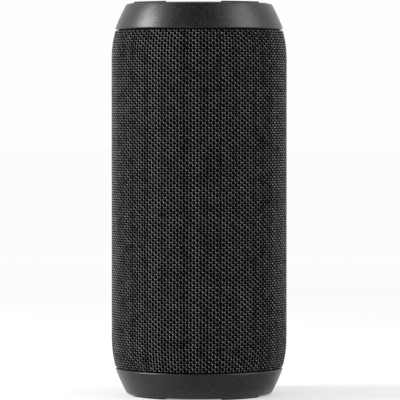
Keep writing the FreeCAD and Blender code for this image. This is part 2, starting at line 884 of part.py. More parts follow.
# ---------------------------------------------------------------- spine, buttons and ports
button_board_y = size("button_board_y", 29.6)
button_board_thickness = size("button_board_thickness", 1.2)
button_board_width = size("button_board_width", 16)
post_x = size("post_x", 5.8)
post_radius = size("post_radius", 1.9)
switch_height = size("switch_height", 0.9)
dome_height = size("dome_height", 0.3)
board_front = button_board_y + button_board_thickness + (body_radius - 40)
board_back = board_front - button_board_thickness
dome_top = board_front + switch_height + dome_height
stem_end = dome_top + button_travel + 0.1
buttons = {
    "power": (small_button_radius, power_drop),
    "pairing": (small_button_radius, pairing_drop),
    "volume_up": (large_button_radius, volume_up_drop),
    "play": (large_button_radius, play_drop),
    "volume_down": (large_button_radius, volume_down_drop),
}
spine_holes = []
switches = []
for name, (radius, drop) in buttons.items():
    level = total_height - drop
    flange_top = leg(spine_inner, radius + button_flange) - clearance
    column = common(
        cylinder(radius, body_radius - flange_top + 2, (0, flange_top - 0.5, level), ALONG_Y),
        cylinder(body_radius, radius * 3, (0, 0, level - radius * 1.5)),
    )
    flange = cylinder(radius + button_flange, 1, (0, flange_top - 1, level), ALONG_Y)
    stem = cylinder(1.5, flange_top - stem_end, (0, stem_end, level), ALONG_Y)
    finish(fuse([column, flange, stem]), name + "_button")
    spine_holes.append(cylinder(radius + clearance, body_radius, (0, spine_inner - 2, level), ALONG_Y))
    switches.append(block(4.6, switch_height, 4.6, (0, board_front + switch_height / 2, level - 2.3)))
    switches.append(cylinder(1.3, dome_height, (0, board_front + switch_height, level), ALONG_Y))
switch_bodies = [fuse(switches[index : index + 2]) for index in range(0, len(switches), 2)]
finish(group(switch_bodies), "dome_switches")

button_board_low = total_height - volume_down_drop - 14
button_board_high = total_height - power_drop + 12
button_board = block(
    button_board_width,
    button_board_thickness,
    button_board_high - button_board_low,
    (0, (board_front + board_back) / 2, button_board_low),
)
board_holes = []
posts = []
pairing_level = total_height - pairing_drop
for level in (button_board_low + 4, pairing_level - 9.6, button_board_high - 3.4):
    for side in (-1, 1):
        x = post_x * side
        reach = spine_inner - board_front + 0.6
        posts.append(cylinder(post_radius, reach, (x, board_front, level), ALONG_Y))
        post_bore = small_screw_radius + running_gap
        spine_holes.append(cylinder(post_bore, 4, (x, board_front - 1, level), ALONG_Y))
        board_holes.append(cylinder(small_screw_radius + 0.1, 4, (x, board_back - 1, level), ALONG_Y))
        shank = cylinder(small_screw_radius, button_board_thickness + 2.8, (x, board_back, level), ALONG_Y)
        head = cylinder(
            small_screw_head_radius,
            small_screw_head_height,
            (x, board_back - small_screw_head_height, level),
            ALONG_Y,
        )
        board_screws.append(fuse([shank, head]))
finish(cut(button_board, board_holes), "button_board")
finish(group(board_screws), "board_screws")

pipe_level = (total_height * 2 - power_drop - pairing_drop) / 2
led_height = size("led_height", 0.6)
finish(block(1.6, led_height, 0.8, (0, board_front + led_height / 2, pipe_level - 0.4)), "status_led")
pipe_low = board_front + led_height + 0.2
pipe_length = spine_outer - pipe_low
finish(cylinder(light_pipe_radius, pipe_length, (0, pipe_low, pipe_level), ALONG_Y), "light_pipe")
pipe_bore = light_pipe_radius + running_gap
spine_holes.append(cylinder(pipe_bore, body_radius, (0, spine_inner - 2, pipe_level), ALONG_Y))

window_high = window_rise + window_length
hinge_y = spine_outer - hinge_depth
hinge_z = window_rise + hinge_depth + 0.4
spine_holes.append(block(window_width, 12, window_length, (0, spine_outer - 2, window_rise)))
pin_length = window_width + 2.2
pin_bore_radius = hinge_pin_radius + running_gap
pin_end = -pin_length / 2
spine_holes.append(
    cylinder(pin_bore_radius, pin_length + 0.2, (pin_end - 0.1, hinge_y, hinge_z), ALONG_X)
)
finish(cylinder(hinge_pin_radius, pin_length, (pin_end, hinge_y, hinge_z), ALONG_X), "port_cover_pin")

cover_width = window_width - clearance * 2
cover_height = window_high - clearance - hinge_z
cover_back = spine_outer - cover_plate
plate = common(
    block(cover_width, 6, cover_height, (0, cover_back + 3, hinge_z)),
    cylinder(spine_outer, cover_height, (0, 0, hinge_z)),
)
barrel = cylinder(hinge_radius, cover_width, (-cover_width / 2, hinge_y, hinge_z), ALONG_X)
pin_bore = cylinder(pin_bore_radius, window_width, (-window_width / 2, hinge_y, hinge_z), ALONG_X)
finish(cut(fuse([plate, barrel]), [pin_bore]), "port_cover")

spine_low = seam_z + clearance
spine_high = total_height - spine_low
spine_end = spine_outer - fabric_roll_depth
spine_body = turn(
    "spine",
    [
        (spine_inner, spine_low),
        (spine_end, spine_low),
        (spine_outer, spine_low + fabric_roll_height, roll_radius),
        (spine_outer, spine_high - fabric_roll_height),
        (spine_end, spine_high, roll_radius),
        (spine_inner, spine_high),
    ],
    spine_angle,
    role="YZ_Plane",
)
finish(cut(fuse([spine_body] + posts), spine_holes), "spine")

# The ports stand on a small board against the enclosure and come up through the housing's floor.
port_board_low = window_rise - 2
port_board = block(14, board_thickness, window_length + 4, (0, rear_y + board_thickness / 2, port_board_low))
jack_z = window_rise + 8.5
usb_z = window_rise + 20
jack_mouth = rear_y + 0.6 + jack_depth
jack_outer = size("jack_outer", 3.4)
finish(
    cut(port_board, [cylinder(jack_outer + 0.1, 4, (0, rear_y - 1, jack_z), ALONG_Y)]),
    "port_board",
)
jack_body = cylinder(jack_outer, jack_depth + 0.55, (0, rear_y + 0.05, jack_z), ALONG_Y)
jack_hole = cylinder(jack_bore_radius, jack_depth + 1, (0, rear_y + 0.6, jack_z), ALONG_Y)
finish(cut(jack_body, [jack_hole]), "aux_jack")

usb_low = rear_y + board_thickness
usb_mouth = jack_mouth - 0.4
usb_depth = size("usb_depth", 6.2)
usb_wall = size("usb_wall", 0.3)
usb_middle = (usb_mouth + usb_low) / 2
usb_shell = block(usb_width, usb_mouth - usb_low, usb_height, (0, usb_middle, usb_z - usb_height / 2))
usb_hollow = block(
    usb_width - usb_wall * 2,
    usb_depth * 2,
    usb_height - usb_wall * 2,
    (0, usb_mouth, usb_z - usb_height / 2 + usb_wall),
)
usb_tongue = block(6.2, usb_depth, 0.7, (0, usb_mouth - usb_depth / 2 - 1, usb_z - 0.35))
finish(fuse([cut(usb_shell, [usb_hollow]), usb_tongue]), "usb_socket")

housing_width = window_width + 2.2
housing_wall = size("housing_wall", 1)
housing_top = leg(spine_inner, housing_width / 2) - clearance
housing_floor = jack_mouth - 2.4
housing_low = window_rise - 1.1
housing_height = window_length + 2.2
housing = block(
    housing_width,
    housing_top - housing_floor,
    housing_height,
    (0, (housing_top + housing_floor) / 2, housing_low),
)
bay = block(
    housing_width - housing_wall * 2,
    8,
    housing_height - housing_wall * 2,
    (0, housing_floor + 1.2 + 4, housing_low + housing_wall),
)
housing_cuts = [
    bay,
    cylinder(jack_outer + 0.2, 6, (0, housing_floor - 2, jack_z), ALONG_Y),
    block(usb_width + 0.4, 6, usb_height + 0.4, (0, housing_floor, usb_z - usb_height / 2 - 0.2)),
]
finish(cut(housing, housing_cuts), "port_housing")

# ---------------------------------------------------------------- cap screws
cap_screws = []
for level, way in ((bumper_floor_z, 1), (total_height - bumper_floor_z, -1)):
    rotation = UPRIGHT if way > 0 else UPSIDE_DOWN
    reach = cap_web + end_flange - 0.5
    for x, y in corner_points(cap_screw_circle):
        seat = level + screw_head_height * way
        head = cylinder(screw_head_radius, screw_head_height, (x, y, level), rotation)
        shank = cylinder(screw_radius, reach - screw_head_height, (x, y, seat), rotation)
        cap_screws.append(fuse([head, shank]))
finish(group(cap_screws), "cap_screws")

# ---------------------------------------------------------------- check and write
doc.recompute()
for item in doc.Objects:
    if "Invalid" in item.State or "Error" in item.State:
        raise RuntimeError(f"{item.Label} ({item.Name}) did not build: {item.State}")
for item in finished:
    if item.Shape.isNull() or not item.Shape.isValid() or not item.Shape.Solids:
        raise RuntimeError(f"{item.Label} has no valid solid")

os.makedirs("parts", exist_ok=True)
for item in finished:
    item.Shape.exportStep(f"parts/{item.Label}.step")
    volume = sum(solid.Volume for solid in item.Shape.Solids)
    print(f"{item.Label}: {len(item.Shape.Solids)} solid(s), {volume:.1f} mm3")
print(f"{len(finished)} sub-parts written")
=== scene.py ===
import math

import bpy
import numpy as np
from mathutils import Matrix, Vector


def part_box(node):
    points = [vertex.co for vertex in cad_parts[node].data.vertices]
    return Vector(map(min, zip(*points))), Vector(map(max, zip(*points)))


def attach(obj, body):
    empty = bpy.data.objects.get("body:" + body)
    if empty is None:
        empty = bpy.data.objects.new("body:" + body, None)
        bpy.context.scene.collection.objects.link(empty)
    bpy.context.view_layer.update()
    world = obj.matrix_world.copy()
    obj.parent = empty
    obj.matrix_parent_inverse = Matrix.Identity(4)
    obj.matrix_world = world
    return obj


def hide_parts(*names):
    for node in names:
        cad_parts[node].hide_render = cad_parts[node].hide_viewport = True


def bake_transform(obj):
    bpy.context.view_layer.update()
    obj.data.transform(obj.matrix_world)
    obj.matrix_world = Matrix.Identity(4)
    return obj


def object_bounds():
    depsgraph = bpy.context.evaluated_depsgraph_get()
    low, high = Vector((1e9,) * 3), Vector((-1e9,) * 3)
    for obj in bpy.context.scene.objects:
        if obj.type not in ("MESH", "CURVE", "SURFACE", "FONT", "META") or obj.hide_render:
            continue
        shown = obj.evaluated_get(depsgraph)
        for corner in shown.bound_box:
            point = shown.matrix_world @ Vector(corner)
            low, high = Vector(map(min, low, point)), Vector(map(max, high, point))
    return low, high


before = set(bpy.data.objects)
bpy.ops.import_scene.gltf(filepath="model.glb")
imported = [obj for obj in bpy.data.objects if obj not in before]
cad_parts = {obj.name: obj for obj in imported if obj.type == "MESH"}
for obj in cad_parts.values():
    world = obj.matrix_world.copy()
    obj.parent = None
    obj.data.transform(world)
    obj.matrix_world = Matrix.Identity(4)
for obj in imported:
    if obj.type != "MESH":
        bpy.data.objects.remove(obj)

cad_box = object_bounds()
scene = bpy.context.scene


# ---------------------------------------------------------------- booth
# A white table top in a white surround, with a soft box up at the speaker's left side and a larger,
# weaker one at its right. A black cloth over the camera and a grey card at the base are painted
# reflections, seen in gloss alone, that keep the painted ends dark in the middle. The camera is a
# long lens at two thirds height.
class Wire:
    """A node's output. Sums on it add Math nodes, and node() adds any other kind to its tree."""

    def __init__(self, tree, socket=None):
        self.tree = tree
        self.socket = socket

    def node(self, kind, settings=None, sockets=None, output=0):
        """A new node of that kind: its settings first, then the values or links of its sockets."""
        made = self.tree.nodes.new("ShaderNode" + kind)
        for name, value in (settings or {}).items():
            setattr(made, name, value)
        for name, value in (sockets or {}).items():
            if isinstance(value, Wire):
                self.tree.links.new(value.socket, made.inputs[name])
            else:
                made.inputs[name].default_value = value
        return Wire(self.tree, made.outputs[output] if made.outputs else None)

    def sum(self, operation, first, second):
        return self.node("Math", {"operation": operation}, {0: first, 1: second})

    def __add__(self, other):
        return self.sum("ADD", self, other)

    def __radd__(self, other):
        return self.sum("ADD", other, self)

    def __sub__(self, other):
        return self.sum("SUBTRACT", self, other)

    def __rsub__(self, other):
        return self.sum("SUBTRACT", other, self)

    def __mul__(self, other):
        return self.sum("MULTIPLY", self, other)

    def __rmul__(self, other):
        return self.sum("MULTIPLY", other, self)

    def mix(self, factor, first, second):
        """A colour between two others."""
        return self.node("Mix", {"data_type": "RGBA"}, {0: factor, 6: first, 7: second}, 2)

    def over(self, low, high):
        """0 below low, 1 above high, and smooth between."""
        sockets = {"Value": self, "From Min": low, "From Max": high}
        return self.node("MapRange", {"interpolation_type": "SMOOTHSTEP"}, sockets)


def grey(level, warmth=0.0):
    """A grey of that sRGB level, from 0 to 255, a little warm or cool, as a linear colour."""
    tinted = [level + warmth, level, level - warmth]
    return [*(((c / 255 + 0.055) / 1.055) ** 2.4 if c > 10 else c / 255 / 12.92 for c in tinted), 1.0]


def seen(root):
    """1 for rays that show the surround itself: straight, mirrored or through glass."""
    unseen = 1.0
    for kind in ("Is Camera Ray", "Is Glossy Ray", "Is Transmission Ray"):
        unseen = unseen * (1.0 - root.node("LightPath", output=kind))
    return 1.0 - unseen


WHITE = [0.984, 0.984, 0.984, 1.0]
DIM_WHITE = [0.70, 0.705, 0.71, 1.0]
surround = bpy.data.worlds.new("white_surround")
surround.use_nodes = True
surround.node_tree.nodes.clear()
scene.world = surround
root = Wire(surround.node_tree)
soft_fill = root.node("Background", sockets={"Color": DIM_WHITE})
white_wall = root.node("Background", sockets={"Color": WHITE})
around = root.node("MixShader", sockets={0: seen(root), 1: soft_fill, 2: white_wall})
root.node("OutputWorld", sockets={"Surface": around})

scene.view_settings.view_transform = "Standard"

EYE_TURN = math.radians(5.5)
EYE_DIP = math.radians(1.7535)
EYE_SWING = 0.000255
EYE_DISTANCE = 1.519
EYE_HEIGHT = 0.1352
lens = bpy.data.cameras.new("long_lens")
lens.sensor_width = 36.0
lens.lens = 300.2
lens.clip_end = 60.0
camera = bpy.data.objects.new("camera", lens)
camera.location = (EYE_DISTANCE * math.sin(EYE_TURN), -EYE_DISTANCE * math.cos(EYE_TURN), EYE_HEIGHT)
camera.rotation_euler = (math.pi / 2 - EYE_DIP, 0.0, EYE_TURN - EYE_SWING)
scene.collection.objects.link(camera)
scene.camera = camera

middle = (cad_box[0] + cad_box[1]) / 2


def toward(bearing, rise):
    """The direction that far to the right of the camera's own side and that high, in degrees."""
    turn = EYE_TURN + math.radians(bearing)
    lift = math.radians(rise)
    return Vector((math.sin(turn) * math.cos(lift), -math.cos(turn) * math.cos(lift), math.sin(lift)))


def soft_box(name, bearing, rise, distance, width, height, watts):
    """A flat lamp that faces the middle of the speaker and doesn't show itself."""
    data = bpy.data.lights.new(name, "AREA")
    data.shape = "RECTANGLE"
    data.size = width
    data.size_y = height
    data.energy = watts
    lamp = bpy.data.objects.new(name, data)
    lamp.location = middle + toward(bearing, rise) * distance
    lamp.rotation_euler = (-toward(bearing, rise)).to_track_quat("-Z", "Y").to_euler()
    lamp.visible_camera = False
    scene.collection.objects.link(lamp)


soft_box("left_soft_box", -84.0, 31.0, 0.9, 0.34, 0.38, 7.2)
soft_box("right_soft_box", 76.0, 34.0, 1.0, 0.55, 0.60, 4.0)


def mesh_piece(name, points, faces):
    """A new smooth-shaded object from points and faces, both as lists or arrays."""
    mesh = bpy.data.meshes.new(name)
    mesh.from_pydata([tuple(p) for p in points], [], [tuple(f) for f in faces])
    mesh.polygons.foreach_set("use_smooth", [True] * len(mesh.polygons))
    mesh.validate()
    piece = bpy.data.objects.new(name, mesh)
    scene.collection.objects.link(piece)
    return piece


def sheet_faces(rows, columns):
    """The faces of a sheet whose points run along each of its rows in turn."""
    here = np.arange(rows - 1)[:, None] * columns + np.arange(columns - 1)[None, :]
    return np.stack([here, here + 1, here + columns + 1, here + columns], -1).reshape(-1, 4).tolist()


def new_finish(name):
    """An empty material and the wire that its nodes are added on."""
    finish = bpy.data.materials.new(name)
    finish.use_nodes = True
    finish.node_tree.nodes.clear()
    return finish, Wire(finish.node_tree)


# The table fades into the white surround with distance. Near the speaker it keeps the shadow.
TABLE_REACH = 7.0
TABLE_DROP = 0.00002
NEAR_LIFT = 0.3825
FAR_LIFT = 0.85
finish, root = new_finish("white_table_top")
table_point = root.node("TexCoord", output="Object")
away = root.node("VectorMath", {"operation": "LENGTH"}, {"Vector": table_point}, "Value")
paint = root.node("BsdfDiffuse", sockets={"Color": grey(243)})
glow = root.node("Emission", sockets={"Color": WHITE, "Strength": 1.04})
lift = NEAR_LIFT + (FAR_LIFT - NEAR_LIFT) * away.over(0.15, 1.3)
shown = root.node("MixShader", sockets={0: seen(root) * lift, 1: paint, 2: glow})
root.node("OutputMaterial", sockets={"Surface": shown})
table_z = cad_box[0].z - TABLE_DROP
corners = [(x * TABLE_REACH, y * TABLE_REACH, table_z) for x, y in ((-1, -1), (1, -1), (1, 1), (-1, 1))]
table = mesh_piece("table_top", corners, [(0, 1, 2, 3)])
table.data.materials.append(finish)

# The black cloth and the grey card show in gloss alone, as painted reflections: a dark one across the caps'
# middles, and the shaded floor below the lower cap.
CURTAIN_DISTANCE = 2.4
finish, root = new_finish("black_cloth")
black = root.node("Emission", sockets={"Color": [0.006, 0.006, 0.006, 1.0]})
root.node("OutputMaterial", sockets={"Surface": black})
bearings = np.linspace(-46, 36, 12)
rises = np.linspace(36, 70, 10)
points = [middle + toward(b, r) * CURTAIN_DISTANCE for r in rises for b in bearings]
curtain = mesh_piece("black_curtain", points, sheet_faces(len(rises), len(bearings)))
curtain.data.materials.append(finish)

CARD_GREY = [0.52, 0.52, 0.52, 1.0]
CARD_INNER = 0.037
CARD_OUTER = 0.12
CARD_THICKNESS = 0.00003
finish, root = new_finish("grey_card")
# The card is white at its left and grey from the middle rightwards: a painted reflection of the floor's shade
# in the lower cap.
sideways = root.node("SeparateXYZ", sockets={"Vector": root.node("TexCoord", output="Object")})
shade = root.mix(sideways.over(-0.030, 0.004), WHITE, CARD_GREY)
root.node("OutputMaterial", sockets={"Surface": root.node("Emission", sockets={"Color": shade})})
fan = [math.radians(b) + EYE_TURN for b in np.linspace(-60, 100, 12)]
card_z = cad_box[0].z + CARD_THICKNESS
points = [(r * math.sin(b), -r * math.cos(b), card_z) for r in (CARD_INNER, CARD_OUTER) for b in fan]
card = mesh_piece("grey_card", points, sheet_faces(2, len(fan)))
card.data.materials.append(finish)
for blackout in (curtain, card):
    blackout.visible_camera = False
    blackout.visible_diffuse = False
    blackout.visible_transmission = False
    blackout.visible_shadow = False


# ---------------------------------------------------------------- enclosure
# Two moulded halves of black glass-filled nylon hold the air behind the drivers. They close on a
# foam strip and are screwed together down both sides. The mould's spark-eroded surface is dull.
def place_of(root):
    """Where a point lies on the piece, in metres."""
    return root.node("TexCoord", output="Object")


def speckle(root, scale, detail=2.0, stretch=None):
    """Noise from 0 to 1 whose grains are about one over scale metres across."""
    place = place_of(root)
    if stretch:
        place = root.node("Mapping", {"vector_type": "POINT"}, {"Vector": place, "Scale": stretch})
    return root.node("TexNoise", sockets={"Vector": place, "Scale": scale, "Detail": detail})


def raised(root, height, depth, strength=1.0):
    """The normal of a surface with that height pattern, depth metres from low to high."""
    return root.node("Bump", sockets={"Strength": strength, "Distance": depth, "Height": height})


def coat(root, sockets):
    """The finish's shader, with these values or patterns in its sockets."""
    surface = root.node("BsdfPrincipled", sockets=sockets)
    root.node("OutputMaterial", sockets={"Surface": surface})


def dress(finish, *nodes):
    """Gives CAD nodes a finish."""
    for node in nodes:
        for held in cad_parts[node].material_slots:
            held.material = finish


def moulded_plastic(name, level, shine=0.5):
    """Moulded plastic with a fine eroded grain and slow differences in gloss."""
    finish, root = new_finish(name)
    grain = speckle(root, 3200.0, 3.0)
    flow = speckle(root, 60.0)
    colour = root.mix(flow, grey(level * 0.88), grey(level * 1.1))
    coat(
        root,
        {
            "Base Color": colour,
            "Roughness": 0.46 + flow * 0.16,
            "Specular IOR Level": shine,
            "Normal": raised(root, grain, 0.00004, 0.6),
        },
    )
    return finish


enclosure_nylon = moulded_plastic("enclosure_nylon", 34)
dress(enclosure_nylon, "front_enclosure", "rear_enclosure", "battery_holder")


def rubber(name, level, grain_size=0.0002, gloss=0.62):
    """Moulded silicone or butyl rubber: dull, with faint dusty clouding."""
    finish, root = new_finish(name)
    cloud = speckle(root, 120.0, 4.0)
    grain = speckle(root, 1 / grain_size, 2.0)
    coat(
        root,
        {
            "Base Color": root.mix(cloud.over(0.35, 0.75), grey(level), grey(level * 1.22)),
            "Roughness": gloss + cloud * 0.14,
            "Specular IOR Level": 0.35,
            "Normal": raised(root, grain, grain_size * 0.12, 0.5),
        },
    )
    return finish


seal_rubber = rubber("seal_rubber", 24)
dress(seal_rubber, "enclosure_gasket", "driver_gaskets")


# ---------------------------------------------------------------- cells and boards
# Two lithium cells in heat-shrink sleeve lie in a cradle behind the drivers. The boards are
# green glass-epoxy with copper under the lacquer, and carry black epoxy parts and tin cans.
def shrink_sleeve():
    """Teal heat-shrink film, glossy and slightly wrinkled along the cell."""
    finish, root = new_finish("shrink_sleeve")
    wrinkle = speckle(root, 140.0, 3.0, (1.0, 1.0, 0.25))
    colour = root.mix(wrinkle, [0.012, 0.105, 0.13, 1.0], [0.02, 0.15, 0.18, 1.0])
    coat(
        root,
        {
            "Base Color": colour,
            "Roughness": 0.22 + wrinkle * 0.16,
            "Normal": raised(root, wrinkle, 0.0002, 0.7),
        },
    )
    return finish


def circuit_board():
    """Green lacquer over copper: runs of track show as paler, slightly raised lines."""
    finish, root = new_finish("circuit_board")
    place = place_of(root)
    blocks = root.node("TexBrick", {"offset": 0.5}, {"Vector": place, "Scale": 260.0, "Mortar Size": 0.03}, 1)
    cells = root.node("TexVoronoi", {"distance": "MANHATTAN"}, {"Vector": place, "Scale": 420.0}, "Distance")
    tracks = 1.0 - cells.over(0.05, 0.16) * (1.0 - blocks)
    green = root.mix(tracks * 0.7, [0.006, 0.055, 0.022, 1.0], [0.018, 0.12, 0.045, 1.0])
    coat(
        root,
        {
            "Base Color": green,
            "Roughness": 0.28 + tracks * 0.1,
            "Normal": raised(root, tracks, 0.00003),
        },
    )
    return finish


def board_parts():
    """Black epoxy packages among tinned cans, told apart by where they sit."""
    finish, root = new_finish("board_parts")
    patch = root.node("TexVoronoi", {}, {"Vector": place_of(root), "Scale": 55.0}, "Color")
    pick = root.node("SeparateColor", sockets={"Color": patch}).over(0.62, 0.63)
    grain = speckle(root, 1800.0)
    coat(
        root,
        {
            "Base Color": root.mix(pick, grey(30), grey(178)),
            "Metallic": pick,
            "Roughness": 0.5 - pick * 0.2 + grain * 0.08,
            "Normal": raised(root, grain, 0.00002),
        },
    )
    return finish


def plated_metal(name, level, dullness, warmth=0.0):
    """Plated or drawn metal with fine rubbed lines and a few duller patches."""
    finish, root = new_finish(name)
    lines = speckle(root, 900.0, 3.0, (1.0, 1.0, 0.08))
    patches = speckle(root, 300.0, 3.0)
    coat(
        root,
        {
            "Base Color": root.mix(patches, grey(level * 0.86, warmth), grey(level, warmth)),
            "Metallic": 1.0,
            "Roughness": dullness + patches * 0.16,
            "Normal": raised(root, lines, 0.00001, 0.5),
        },
    )
    return finish


dress(shrink_sleeve(), "battery_cells")
dress(circuit_board(), "main_board", "port_board", "button_board")
dress(board_parts(), "board_components", "dome_switches")
bright_steel = plated_metal("zinc_plated_steel", 176, 0.26)
dress(bright_steel, "enclosure_screws", "cap_screws", "driver_screws", "board_screws", "port_cover_pin")
nickel = plated_metal("nickel_plate", 196, 0.2, 4.0)
dress(nickel, "usb_socket")


# ---------------------------------------------------------------- drivers
# Two full-range drivers face the front, one above the other. Each is a pressed steel basket with
# a ferrite motor, a paper cone on a rubber half roll, and a varnished cloth spider behind it.
def spider_weave():
    """Varnished cotton woven plain, one thread over and one under."""
    pitch = 0.0005
    finish, root = new_finish("spider_cloth")
    place = place_of(root)
    scale = 2 * math.pi / pitch / 20
    across = root.node("TexWave", {"bands_direction": "X"}, {"Vector": place, "Scale": scale})
    up = root.node("TexWave", {"bands_direction": "Z"}, {"Vector": place, "Scale": scale})
    threads = across * up
    fuzz = speckle(root, 2500.0, 3.0)
    coat(
        root,
        {
            "Base Color": root.mix(
                threads * 0.8 + fuzz * 0.2, [0.10, 0.05, 0.012, 1.0], [0.34, 0.2, 0.07, 1.0]
            ),
            "Roughness": 0.8,
            "Normal": raised(root, threads, pitch * 0.2),
        },
    )
    return finish


def cone_paper():
    """Pressed black pulp with loose fibres on the surface."""
    finish, root = new_finish("cone_paper")
    fibres = speckle(root, 700.0, 6.0)
    coat(
        root,
        {
            "Base Color": root.mix(fibres, grey(26), grey(52)),
            "Roughness": 0.85,
            "Normal": raised(root, fibres, 0.00025),
        },
    )
    return finish


def copper_winding():
    """Enamelled copper wire wound side by side on the voice coil's former."""
    finish, root = new_finish("copper_winding")
    place = place_of(root)
    turns = root.node("TexWave", {"bands_direction": "Y"}, {"Vector": place, "Scale": 1200.0})
    colour = root.mix(turns, [0.16, 0.035, 0.012, 1.0], [0.62, 0.2, 0.09, 1.0])
    coat(
        root,
        {
            "Base Color": colour,
            "Metallic": 1.0,
            "Roughness": 0.3,
            "Normal": raised(root, turns, 0.0001),
        },
    )
    return finish


dress(plated_metal("black_pressed_steel", 58, 0.42), "lower_driver_basket", "upper_driver_basket")
ferrite = moulded_plastic("ferrite", 46)
spider_cloth = spider_weave()
paper = cone_paper()
winding = copper_winding()
roll_rubber = rubber("roll_rubber", 22)
for end in ("lower", "upper"):
    dress(bright_steel, end + "_driver_front_plate", end + "_driver_yoke")
    dress(ferrite, end + "_driver_magnet")
    dress(spider_cloth, end + "_driver_spider")
    dress(paper, end + "_driver_cone", end + "_driver_dust_cap")
    dress(winding, end + "_driver_voice_coil")
    dress(roll_rubber, end + "_driver_surround")


# ---------------------------------------------------------------- passive radiators
# A stiff painted disc with a steel weight behind it hangs in a rubber half roll at each end. The
# roll's inner edge is glued to the disc, and its outer edge is clamped by the frame under the cap's
# inner lip. The roll is built as a ring of wedges, which are not tied to the disc.
def sweep(centre, radius, first, last, count):
    """Points of an arc in (radius, height), between two angles in degrees."""
    turns = np.radians(np.linspace(first, last, count))
    return [(centre[0] + radius * math.cos(t), centre[1] + radius * math.sin(t)) for t in turns]


def lathe(name, outline, steps=384, first=0.0, last=360.0):
    """Turns a closed outline of (radius, height) points about the upright axis."""
    whole = last - first >= 360.0
    turns = np.radians(np.linspace(first, last, steps, endpoint=not whole))
    outline = np.array(outline)
    count = len(outline)
    x = np.outer(np.cos(turns), outline[:, 0])
    y = np.outer(np.sin(turns), outline[:, 0])
    z = np.tile(outline[:, 1], (steps, 1))
    points = np.stack([x, y, z], -1).reshape(-1, 3)
    faces = []
    for step in range(steps if whole else steps - 1):
        here = step * count
        there = (step + 1) % steps * count
        for corner in range(count):
            after = (corner + 1) % count
            faces.append((here + corner, there + corner, there + after, here + after))
    if not whole:
        faces.append(tuple(range(count)))
        faces.append(tuple(reversed(range((steps - 1) * count, steps * count))))
    return mesh_piece(name, points, faces)


def other_way_up(outline, end):
    """The outline as it is at that end: the two ends mirror each other."""
    if end == "lower":
        return outline
    top = cad_box[1].z + cad_box[0].z
    return [(r, top - z) for r, z in reversed(outline)]


radiator_plastic = moulded_plastic("radiator_plastic", 30)
radiator_paint = plated_metal("radiator_disc_paint", 62, 0.34)
radiator_rubber = rubber("radiator_rubber", 23)
for end in ("lower", "upper"):
    dress(radiator_plastic, end + "_radiator_frame")
    dress(radiator_paint, end + "_radiator_cone")
    dress(bright_steel, end + "_radiator_weight")

ROLL_EDGE_GAP = 0.0003
GLUED_WIDTH = 0.0022
disc_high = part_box("lower_radiator_cone")[1]
roll_low, roll_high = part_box("lower_radiator_surround")
rubber_half = (roll_high.z - disc_high.z) / 2
roll_middle = disc_high.z + rubber_half
roll = roll_middle - rubber_half - roll_low.z
roll_radius = disc_high.x + ROLL_EDGE_GAP + roll
roll_centre = (roll_radius, roll_middle)
roll_outline = [
    (disc_high.x - GLUED_WIDTH, disc_high.z),
    (roll_radius - roll - rubber_half, disc_high.z),
    *sweep(roll_centre, roll + rubber_half, -180.0, 0.0, 13),
    (roll_radius + roll + rubber_half, disc_high.z),
    (roll_high.x, disc_high.z),
    (roll_high.x, roll_high.z),
    (roll_radius + roll - rubber_half, roll_high.z),
    *sweep(roll_centre, roll - rubber_half, 0.0, -180.0, 13),
    (roll_radius - roll + rubber_half, roll_high.z),
    (disc_high.x - GLUED_WIDTH, roll_high.z),
]
ROLL_SECTORS = 24
ROLL_STEPS = 17
sector = 360.0 / ROLL_SECTORS
half_sector = math.radians(sector / 2)
for end in ("lower", "upper"):
    for number in range(ROLL_SECTORS):
        first = number * sector
        name = f"{end}_rubber_roll_{number + 1}"
        wedge = lathe(name, other_way_up(roll_outline, end), ROLL_STEPS, first, first + sector)
        wedge.data.materials.append(radiator_rubber)
        turn = math.radians(first) + half_sector
        spoke = Vector((math.cos(turn), math.sin(turn), 0.0)) * math.cos(half_sector)
        clamped = spoke * (roll_radius + roll)
        glued = spoke * (roll_radius - roll)
        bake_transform(wedge)
        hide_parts(end + "_radiator_surround")


# ---------------------------------------------------------------- slotted shell
# An extruded tube of black plastic with long slots milled through it stands between the two caps.
# It carries the cloth, and it shows only as the dark line in each seam.
# The shell's near-black colour and faint gloss are partly its own black plastic and partly painted shade in
# the seam gap.
dress(moulded_plastic("shell_plastic", 6, 0.08), "grille_shell")


# ---------------------------------------------------------------- caps
# Die-cast rings, tapered and slightly crowned, sprayed with a charcoal metallic and a satin clear
# coat. The edge at the seam is cut back by a small chamfer, where the paint is thin and catches
# the light. The cap's spigot goes inside the slotted shell.
def sharpen(piece, angle=35.0):
    """Marks hard edges, so that flat faces stay flat under smooth shading."""
    bpy.context.view_layer.objects.active = piece
    piece.select_set(True)
    bpy.ops.object.shade_smooth_by_angle(angle=math.radians(angle))
    piece.select_set(False)


def cap_paint():
    """Charcoal metallic: dark base, fine bright flakes each tilted its own way, satin clear coat."""
    finish, root = new_finish("cap_paint")
    flakes = root.node("TexVoronoi", {}, {"Vector": place_of(root), "Scale": 3600.0}, "Color")
    glint = root.node("SeparateColor", sockets={"Color": flakes})
    cloud = speckle(root, 45.0, 3.0)
    peel = speckle(root, 900.0, 2.0)
    coat(
        root,
        {
            "Base Color": root.mix(glint.over(0.72, 1.0), grey(23), grey(58)),
            "Metallic": 0.25,
            "Roughness": 0.27 + cloud * 0.05 + glint * 0.05,
            "Normal": raised(root, glint * 0.5 + peel * 0.5, 0.00003, 0.5),
        },
    )
    return finish


